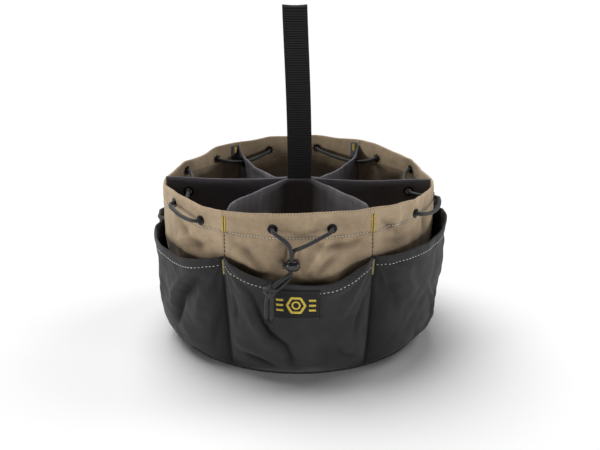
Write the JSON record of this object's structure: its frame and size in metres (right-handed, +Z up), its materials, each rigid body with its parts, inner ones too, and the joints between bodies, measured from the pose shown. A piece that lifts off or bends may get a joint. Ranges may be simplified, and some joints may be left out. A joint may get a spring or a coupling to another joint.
{
  "type": "tool bucket organizer",
  "caption": "Round canvas tool bag with crossed dividers, outer pockets, a webbing handle and a drawstring rim with a cord lock.",
  "frame": {"origin": "centre of the bag's underside, where it stands", "axes": "+Z up, -Y towards the front with the label and the cord lock, +X to the right seen from the front"},
  "size_m": [0.3076, 0.3257, 0.3455],
  "materials": {
    "canvas": "tan polyester canvas, twill weave",
    "pocket_cloth": "charcoal polyester, plain weave",
    "divider_cloth": "charcoal polyester, smooth weave",
    "base_fabric": "charcoal polyester",
    "binding": "black bias binding",
    "board": "stiff polyethylene base board",
    "webbing": "black ribbed polypropylene webbing",
    "cord": "braided nylon cord, slightly shiny",
    "thread": "yellow bartack thread",
    "label": "black woven label",
    "eyelet_metal": "black lacquered brass",
    "lock_plastic": "glossy black nylon",
    "spring_steel": "spring wire"
  },
  "bodies": {
    "bag": {"base_panel": "base_fabric", "base_board": "board", "base_binding": "binding", "wall_front": "canvas", "wall_front_right": "canvas", "wall_back_right": "canvas", "wall_back": "canvas", "wall_back_left": "canvas", "wall_front_left": "canvas", "pocket_front": "pocket_cloth", "pocket_front_right": "pocket_cloth", "pocket_back_right": "pocket_cloth", "pocket_back": "pocket_cloth", "pocket_back_left": "pocket_cloth", "pocket_front_left": "pocket_cloth", "divider_cross": "divider_cloth", "divider_front": "divider_cloth", "divider_back": "divider_cloth", "seam_tabs": "divider_cloth", "handle_anchor": "webbing", "rim_eyelets": "eyelet_metal", "divider_grommets": "eyelet_metal", "rim_bartacks": "thread", "pocket_bartacks": "thread", "label_patch": "label", "drawstring": "cord", "drawstring_end_left": "cord", "drawstring_end_right": "cord", "drawstring_knot": "cord"},
    "handle": {"handle_loop": "webbing"},
    "cord_lock": {"lock_body": "lock_plastic", "lock_spring": "spring_steel"},
    "plunger": {"lock_plunger": "lock_plastic"}
  },
  "joints": [
    {"name": "handle_fold", "type": "hinge", "parent": "bag", "child": "handle", "pos_m": [0, 0, 0.1653], "axis": [1, 0, 0], "range_deg": [-80, 80], "stiffness_Nm_per_rad": 0.08},
    {"name": "lock_slide", "type": "slide", "parent": "bag", "child": "cord_lock", "axis": [0, 0, 1], "range_m": [0, 0.004]},
    {"name": "plunger_press", "type": "slide", "parent": "cord_lock", "child": "plunger", "axis": [1, 0, 0], "range_m": [0, 0.0022], "stiffness_N_per_m": 800, "springref_m": -0.001, "deforming": ["lock_spring"]}
  ]
}
